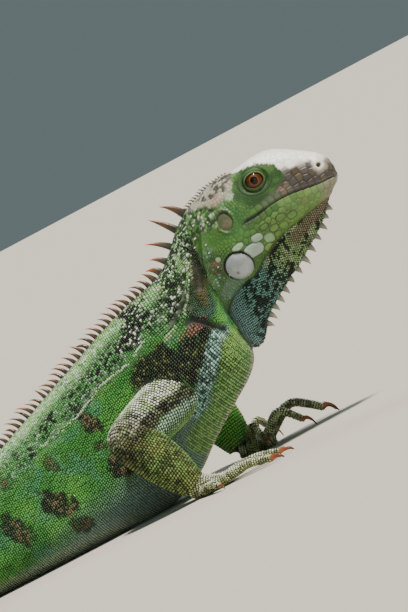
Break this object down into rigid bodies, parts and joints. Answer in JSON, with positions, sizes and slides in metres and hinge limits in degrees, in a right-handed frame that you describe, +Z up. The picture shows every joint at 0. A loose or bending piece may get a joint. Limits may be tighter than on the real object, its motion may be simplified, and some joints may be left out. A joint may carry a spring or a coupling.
{
  "type": "green iguana",
  "caption": "Life-size green iguana resting on its belly with head and chest raised on the front legs, throat flap, crest of spines, long curved tail and clawed feet, as a still model.",
  "frame": {"origin": "on the floor, in the flat that the belly rests on, on the body's mid-plane", "axes": "+X towards the snout, +Y to the animal's left, +Z up"},
  "size_m": [0.691, 0.5535, 0.1317],
  "materials": {
    "skin": "satin scaly skin, green with grey, black and cream markings",
    "spine": "horn spines, grey-brown with orange-brown tips",
    "claw": "polished dark brown horn",
    "eye": "wet gloss, orange-brown iris with black pupil",
    "eardrum": "thin smooth olive-brown membrane",
    "cheek_plate": "smooth pale grey shell-like scale"
  },
  "bodies": {
    "root": {"head": "skin", "jaw": "skin", "eye_right": "eye", "ear_right": "eardrum", "cheek_plate_right": "cheek_plate", "eye_left": "eye", "ear_left": "eardrum", "cheek_plate_left": "cheek_plate", "dewlap": "skin", "neck": "skin", "trunk": "skin", "tail_1": "skin", "tail_2": "skin", "tail_3": "skin", "tail_4": "skin", "tail_5": "skin", "upper_arm_right": "skin", "upper_arm_left": "skin", "forearm_right": "skin", "forearm_left": "skin", "hand_right": "skin", "hand_left": "skin", "thigh_right": "skin", "thigh_left": "skin", "shank_right": "skin", "shank_left": "skin", "foot_right": "skin", "foot_left": "skin", "hand_claw_right_1": "claw", "hand_claw_right_2": "claw", "hand_claw_right_3": "claw", "hand_claw_right_4": "claw", "hand_claw_right_5": "claw", "hand_claw_left_1": "claw", "hand_claw_left_2": "claw", "hand_claw_left_3": "claw", "hand_claw_left_4": "claw", "hand_claw_left_5": "claw", "foot_claw_right_1": "claw", "foot_claw_right_2": "claw", "foot_claw_right_3": "claw", "foot_claw_right_4": "claw", "foot_claw_right_5": "claw", "foot_claw_left_1": "claw", "foot_claw_left_2": "claw", "foot_claw_left_3": "claw", "foot_claw_left_4": "claw", "foot_claw_left_5": "claw"}
  },
  "joints": []
}
